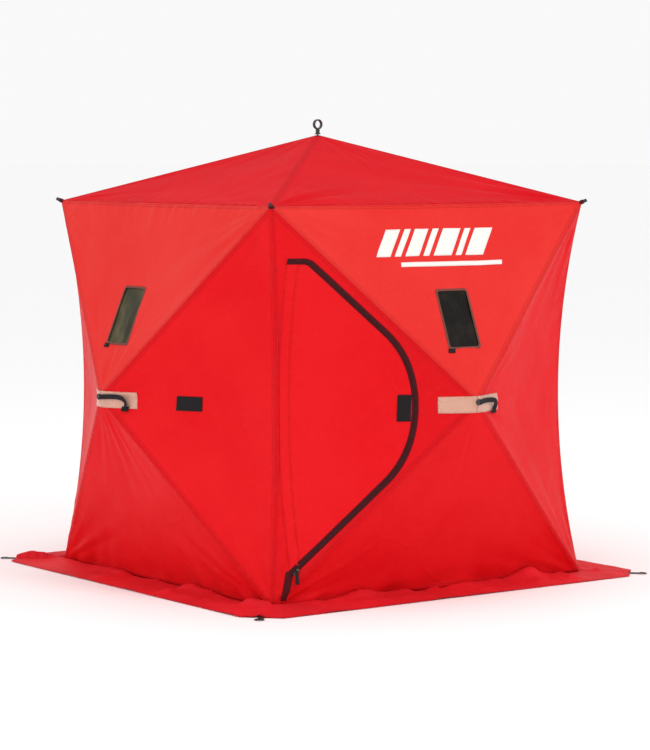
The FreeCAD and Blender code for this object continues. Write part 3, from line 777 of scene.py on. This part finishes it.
on_top_panels = {}
for wall, vinyl in (("front", DARK_VINYL), ("left", OLIVE_VINYL)):
    panel = PANELS[f"{wall}_panel_top"]

    def rippled(a, b, lift):
        ripple = 0.0016 * noise.noise(Vector((a * 16, b * 7, 3.3 + len(wall))))
        return panel.point(a, b, lift + ripple)

    pane = patch(f"{wall}_window_pane", rippled, (-0.100, 0.100),
                 (WINDOW_Z - 0.150 * UPPER_SLOPE, WINDOW_Z + 0.150 * UPPER_SLOPE), -0.0032, vinyl,
                 0.0008, 0.010)
    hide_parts(f"{wall}_window")
    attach(pane, f"{wall}_window")
    binding = ring_piece(f"{wall}_window_binding", panel.point, window_loop(0.008),
                         window_loop(-0.003), 0.0012, 0.0010, BINDING, 0.0008)
    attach(binding, f"{wall}_panel_top")
    pull = patch(f"{wall}_window_tab", panel.point, (-0.098, -0.060),
                 (WINDOW_Z - 0.158 * UPPER_SLOPE, WINDOW_Z - 0.138 * UPPER_SLOPE), PATCH_LIFT,
                 BLACK_CLOTH, 0.0010, 0.006, 0.004, 0.0015)
    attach(pull, f"{wall}_panel_top")
    on_top_panels[wall] = [binding, pull]

# ---- hub fittings

strips = {}
for wall in WALLS:
    for side, span in (("left", (-0.165, -0.001)), ("right", (0.001, 0.180))):
        strip = patch(f"{wall}_strip_{side}", partial(wall_point, wall), span, STRIP_BAND,
                      STRIP_LIFT, REFLECTIVE, 0.0008)
        follow_panel(strip, f"{wall}_panel_{side}")
        strips[f"{wall}_panel_{side}"] = strip


# the pull strap's way over the wall: from the hub, up from the hub's height, off the cloth
STRAP_ROUTE = ((0.004, 0.0, 0.012), (0.035, 0.002, 0.010), (0.080, 0.004, 0.012),
               (0.118, 0.001, 0.024), (0.134, -0.018, 0.020), (0.128, -0.044, 0.012))


def strap(name, centres, outward, width, thickness, body):
    """A webbing strap swept along its centre line, a little thicker along its middle."""
    line = []
    for first, second in zip(centres, centres[1:]):
        for step in range(6):
            line.append(Vector(first).lerp(Vector(second), step / 6))
    line.append(Vector(centres[-1]))
    for _ in range(4):
        line = [line[0]] + [(line[i - 1] + line[i] * 2 + line[i + 1]) / 4
                            for i in range(1, len(line) - 1)] + [line[-1]]
    points = []
    for index, place in enumerate(line):
        along = (line[min(index + 1, len(line) - 1)] - line[max(index - 1, 0)]).normalized()
        face = Vector(outward) - along * Vector(outward).dot(along)
        across = along.cross(face.normalized())
        for share in (-0.5, -0.42, 0.0, 0.42, 0.5):
            crown = thickness * 0.25 * (1 - (2 * share) ** 2)
            points.append(place + across * share * width + face.normalized() * crown)
    piece = make_piece(name, points, grid_faces(len(line), 5), WEBBING, thickness)
    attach(piece, body)
    return piece


for quarter, wall in enumerate(WALLS):
    centres = [wall_point(wall, a, HUB_Z + rise, lift) for a, rise, lift in STRAP_ROUTE]
    strap(f"{wall}_pull_strap", centres, turned((0, -1, 0), quarter), 0.022, 0.0016, f"{wall}_hub")
    stop = patch(f"{wall}_strap_stop", partial(wall_point, wall), (0.112, 0.144),
                 (HUB_Z - 0.060, HUB_Z - 0.038), 0.0135, BLACK_CLOTH, 0.0030, 0.005,
                 0.004, 0.0020)
    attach(stop, f"{wall}_hub")

# ---- patches, print and tail

def black_patch(name, panel, a_range, b_range, body):
    """Black hook-and-loop sewn on a panel, a little crooked and raised in its middle."""
    piece = patch(name, panel.point, a_range, b_range, PATCH_LIFT, BLACK_CLOTH,
                  0.0018, 0.006, 0.004, 0.0015)
    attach(piece, body)
    return piece


door_patch = black_patch("door_patch", DOOR_WALL, (-0.328, -0.272), (0.803, 0.921), "door_flap")
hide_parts("door_tab")
tieback = black_patch("tieback_patch", PANELS["left_panel_right"], (0.360, 0.476), (0.838, 0.903),
                      "left_panel_right")
tail = patch("zip_tail", partial(wall_point, "front"), (-0.834, -0.806), (0.034, 0.158), 0.0034,
             MAROON_TAPE, 0.0018, 0.005, 0.036, 0.0020)
follow_door_wall(tail)
pull_tab = patch("slider_pull", DOOR_WALL.point, (-0.786, -0.774), (0.104, 0.162), 0.0125, WEBBING,
                 0.0016, 0.004, 0.004, 0.0015)
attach(pull_tab, "zipper_slider")

def printed(name, a_range, b_range, slant):
    """A bar of white ink on the front wall's top panel, leaning by slant."""
    mark = patch(name, PANELS["front_panel_top"].point, a_range, b_range, PRINT_LIFT, PRINT,
                 0.0003, 0.009, slant)
    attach(mark, "front_panel_top")
    return mark


BARS = ((-0.335, -0.255), (-0.232, -0.197), (-0.174, -0.096), (-0.073, -0.038), (-0.014, 0.090),
        (0.113, 0.148), (0.171, 0.275))
prints = [printed(f"print_bar_{number}", span, (1.530, 1.648), 0.085)
          for number, span in enumerate(BARS, start=1)]
prints.append(printed("print_rule", (-0.250, 0.330), (1.484, 1.504), 0.006))

# ---- the skirt and its anchors


def skirt_outline():
    """Outer corners of the skirt, cut off at forty-five degrees."""
    far = HALF + SKIRT
    near = far - SKIRT_CORNER
    corners = []
    for quarter in range(4):
        corners += [turned((near, -far, 0), quarter), turned((far, -near, 0), quarter)]
    return spaced([(p.x, p.y) for p in corners + corners[:1]], 0.020)[:-1]


def skirt_height(x, y):
    """Ripples of the cloth lying on the ice, rising to the foot of the wall."""
    reach = max(abs(x), abs(y)) - HALF
    along = (y if abs(x) > abs(y) else x) + 3.0 * (abs(x) > abs(y)) + (x > 0) + 1.7 * (y > 0)
    wave = noise.noise(Vector((along * 7.5, reach * 2.2, 0.4)))
    fine = noise.noise(Vector((along * 19.0, reach * 9.0, 4.4)))
    swell = max(0.0, wave + 0.10) * 0.034 * smooth(reach / 0.06) * smooth((0.245 - reach) / 0.10)
    curl = 0.010 * max(0.0, noise.noise(Vector((along * 5.0, 9.0, 1.0)))) * smooth((reach - 0.19) / 0.05)
    tuck = 0.004 + 0.026 * max(0.0, 0.25 + noise.noise(Vector((along * 3.6, 2.0, 7.0))))
    roll = tuck * smooth((reach - 0.004) / 0.020) * (1 - smooth((reach - 0.020) / 0.085))
    return 0.0016 + swell + curl + roll + 0.0022 * max(0.0, fine)


def build_skirt():
    """The skirt as a flat ring of triangles, raised into its ripples and then dropped on the ice."""
    outline = skirt_outline()
    foot = spaced([(-HALF, -HALF), (HALF, -HALF), (HALF, HALF), (-HALF, HALF), (-HALF, -HALF)],
                  0.018)[:-1]
    points = [Vector(p) for p in outline + foot]
    edges = chain(0, len(outline)) + chain(len(outline), len(foot))
    far, step = HALF + SKIRT, 0.016
    half_count = int(far / step)
    for row in range(-half_count, half_count + 1):
        for column in range(-half_count, half_count + 1):
            x, y = column * step + (row % 2) * step / 2, row * step
            reach = max(abs(x), abs(y))
            if reach > HALF + 0.008 and inside((x, y), outline) and far - reach > 0.008:
                points.append(Vector((x, y)))
    plan, kept = triangles(points, edges, lambda middle: (
        max(abs(middle[0]), abs(middle[1])) > HALF and inside(middle, outline)))
    faces = [face for face, _ in kept]
    cut = far * 2 - SKIRT_CORNER
    space, rims = [], []
    for x, y in plan:
        rim = min(far - max(abs(x), abs(y)), (cut - abs(x) - abs(y)) / math.sqrt(2))
        space.append((x, y, skirt_height(x, y)))
        rims.append((max(rim, 0.0), max(abs(x), abs(y)) - HALF, x + y))
    flat = [(x, y, 0.0) for x, y in plan]
    area = flat_area(flat, faces)
    piece = make_piece("skirt_cloth_sheet", space, facing(flat, faces, Vector((0, 0, 1))),
                       SKIRT_CLOTH, edges=rims)
    settle(piece, [i for i, rim in enumerate(rims) if rim[1] < 0.006])
    shell = piece.modifiers.new("cloth thickness", "SOLIDIFY")
    shell.thickness = 0.0010
    shell.offset = 1
    return piece, area


def settle(piece, held):
    """Lets the skirt fall on the ice by cloth simulation, with its foot held by the walls."""
    mesh = bpy.data.meshes.new("ice")
    mesh.from_pydata([(-2, -2, 0), (2, -2, 0), (2, 2, 0), (-2, 2, 0)], [], [(0, 1, 2, 3)])
    ice = bpy.data.objects.new("ice", mesh)
    scene.collection.objects.link(ice)
    ice.modifiers.new("ice", "COLLISION")
    ice.collision.thickness_outer = 0.001
    ice.collision.cloth_friction = 20
    piece.vertex_groups.new(name="held").add(held, 1.0, "REPLACE")
    cloth = piece.modifiers.new("fall", "CLOTH")
    cloth.settings.vertex_group_mass = "held"
    cloth.settings.quality = 6
    cloth.settings.mass = 0.12
    cloth.settings.tension_stiffness = cloth.settings.compression_stiffness = 12
    cloth.settings.shear_stiffness = 4
    cloth.settings.bending_stiffness = 0.35
    cloth.collision_settings.distance_min = 0.001
    cloth.point_cache.frame_start, cloth.point_cache.frame_end = 1, SETTLE_FRAMES
    for frame_number in range(1, SETTLE_FRAMES + 1):
        scene.frame_set(frame_number)
    shaped = piece.evaluated_get(bpy.context.evaluated_depsgraph_get())
    fallen = [vertex.co.copy() for vertex in shaped.data.vertices]
    piece.modifiers.remove(cloth)
    piece.vertex_groups.clear()
    for vertex, place in zip(piece.data.vertices, fallen):
        vertex.co = (place.x, place.y, max(place.z, 0.0006) + CREASED * vertex.co.z)
    piece.data.update()
    scene.frame_set(1)
    bpy.data.objects.remove(ice)


skirt, skirt_area = build_skirt()
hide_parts("skirt")
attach(skirt, "root")

def circle(radius, steps):
    """Plan points at even steps round a circle."""
    angles = [math.radians(360 * step / steps) for step in range(steps)]
    return [(math.cos(angle) * radius, math.sin(angle) * radius) for angle in angles]


def anchor_webbing(number, centre, inward, across):
    """A flat loop end round the grommet's hole, and the strip that is sewn to the skirt."""
    angles = [math.radians(-150 + 300 * step / 24) for step in range(25)]
    outer = [(-math.cos(angle) * 0.022, math.sin(angle) * 0.022) for angle in angles]
    outer += [(0.088, 0.011), (0.088, -0.011)]
    hole = circle(0.0125, 24)
    plan, kept = triangles([Vector(p) for p in outer + hole],
                           chain(0, len(outer)) + chain(len(outer), len(hole)),
                           lambda middle: inside(middle, outer) and not inside(middle, hole))
    space = []
    for u, v in plan:
        spot = centre + inward * u + across * v
        space.append((spot.x, spot.y, ANCHOR_Z))
    return make_piece(f"anchor_webbing_{number}", space, [face for face, _ in kept], WEBBING,
                      0.0020)


def anchor_grommet(number, centre, inward, across):
    """A rolled metal ring in the webbing's hole."""
    rows, faces = [], []
    for step in range(GROMMET_STEPS):
        angle = math.radians(360 * step / GROMMET_STEPS)
        following = (step + 1) % GROMMET_STEPS * 8
        for part in range(8):
            turn = math.radians(45 * part)
            radius = 0.0150 + 0.0028 * math.cos(turn)
            rows.append(centre + inward * math.cos(angle) * radius + across * math.sin(angle) * radius
                        + Vector((0, 0, ANCHOR_Z + 0.0016 * math.sin(turn))))
            faces.append((step * 8 + part, following + part, following + (part + 1) % 8,
                          step * 8 + (part + 1) % 8))
    return make_piece(f"anchor_grommet_{number}", rows, faces, ZINC)


anchors = []
for quarter in range(4):
    inward = turned((1, 1, 0), quarter).normalized()
    spot = (turned((-ANCHOR, -ANCHOR, 0), quarter), inward, Vector((0, 0, 1)).cross(inward))
    anchors += [anchor_webbing(quarter + 1, *spot), anchor_grommet(quarter + 1, *spot)]
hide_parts("corner_anchors")
for anchor in anchors:
    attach(anchor, "root")

# ---- pole pockets at the eave corners

# rounds of a pocket: reach out of the corner, half width and half height
POCKET = ((-0.034, 0.0225, 0.0045), (-0.018, 0.0175, 0.0085), (-0.004, 0.0120, 0.0105),
          (0.006, 0.0098, 0.0100), (0.0085, 0.0094, 0.0094))
POCKET_STEPS = 16


for quarter in range(4):
    away = turned((-1, -1, 0.6), quarter).normalized()
    corner = turned((-HALF, -HALF, EAVE), quarter)
    side = away.cross(Vector((0, 0, 1))).normalized()
    above = side.cross(away)
    places = []
    for number, (reach, wide, tall) in enumerate(POCKET):
        for step in range(POCKET_STEPS):
            angle = math.radians(360 * step / POCKET_STEPS)
            wrinkle = 1 + 0.07 * noise.noise(Vector((number * 1.9, step * 1.3, quarter * 4.1)))
            places.append(corner + away * reach + side * math.cos(angle) * wide * wrinkle
                          + above * math.sin(angle) * tall * wrinkle)
    pocket = make_piece(f"pole_pocket_{quarter + 1}", places,
                        round_faces(range(len(POCKET) - 1), POCKET_STEPS), MAROON_TAPE)
    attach(pocket, "root")

# ---- the frame's own parts

for name, node in frame["nodes"].items():
    if name.endswith("_hub"):
        material = HUB_PLASTIC
    elif name.endswith("_hub_cap") or name == "corner_caps":
        material = CAP_PLASTIC
    elif "_pole_" in name:
        material = FIBREGLASS
    elif name == "zipper_slider":
        material = ZINC
    else:
        continue
    node.data.materials.clear()
    node.data.materials.append(material)

# ---- each panel's cloth and sewn-on pieces, gathered but not put to use

for name, panel in PANELS.items():
    cloth, area = cloths[name]
    wall = name.split("_")[0]
    extra = [strips[name]] if name in strips else []
    if name == "front_panel_top":
        extra += prints + on_top_panels["front"]
    elif name == "left_panel_top":
        extra += on_top_panels["left"]
    elif name == "left_panel_right":
        extra.append(tieback)
    elif panel is DOOR_WALL:
        extra += outer_zip + [tail]
    (panel.rim(1.0) - panel.rim(0.0)).length

# ---- studio

CAMERA_PLACE = (-7.663, -10.634, 1.999)
CAMERA_LENS = 131.75  # millimetres, on a 36 mm wide sensor
CAMERA_DOWN = 4.69  # degrees below level
CAMERA_TURN = 35.93  # degrees from the front wall's normal
FLOOR_ROUNDS, FLOOR_SPOKES, FLOOR_RADIUS = 48, 64, 400.0

def floor_material():
    s = Shader("white_floor")
    grain = s.noise(90.0, 4.0, 0.6)
    colour = s.mix(grain, (0.975, 0.975, 0.975), (1.0, 1.0, 1.0))
    return s.finish(colour, 0.8, s.bump(grain, 0.1, 0.001))


def build_floor():
    """A flat disc with closer rounds near the middle, wide enough to hide its edge."""
    points = []
    for number in range(FLOOR_ROUNDS + 1):
        radius = FLOOR_RADIUS * (number / FLOOR_ROUNDS) ** 3
        points += [(x, y, 0.0) for x, y in circle(radius, FLOOR_SPOKES)]
    faces = round_faces(range(1, FLOOR_ROUNDS), FLOOR_SPOKES)
    faces.append(tuple(range(FLOOR_SPOKES, 2 * FLOOR_SPOKES)))
    mesh = bpy.data.meshes.new("floor")
    mesh.from_pydata(points, [], faces)
    mesh.materials.append(floor_material())
    floor = bpy.data.objects.new("floor", mesh)
    scene.collection.objects.link(floor)


def lamp(name, place, aim, power, width, colour):
    light = bpy.data.lights.new(name, "AREA")
    light.energy, light.size, light.color = power, width, colour
    holder = bpy.data.objects.new(name, light)
    holder.location = place
    holder.rotation_euler = (Vector(aim) - Vector(place)).to_track_quat("-Z", "Y").to_euler()
    scene.collection.objects.link(holder)


build_floor()
lamp("key_light", (2.6, -8.6, 7.2), (0.2, -1.0, 1.3), 205, 3.6, (1.0, 0.98, 0.96))
lamp("left_fill", (-8.5, -2.5, 4.0), (0, 0, 0.9), 100, 5.0, (0.96, 0.97, 1.0))
lamp("top_light", (-1.0, 0.5, 8.0), (0, 0, 0), 60, 6.0, (1.0, 1.0, 1.0))
world = bpy.data.worlds.new("studio")
world.use_nodes = True
background = world.node_tree.nodes["Background"]
background.inputs["Color"].default_value = (1.0, 1.0, 1.0, 1)
background.inputs["Strength"].default_value = 0.95
scene.world = world

camera_data = bpy.data.cameras.new("camera")
camera_data.lens = CAMERA_LENS
camera_data.sensor_width = 36
camera = bpy.data.objects.new("camera", camera_data)
camera.location = CAMERA_PLACE
camera.rotation_euler = (math.radians(90 - CAMERA_DOWN), 0, math.radians(-CAMERA_TURN))
scene.collection.objects.link(camera)
scene.camera = camera
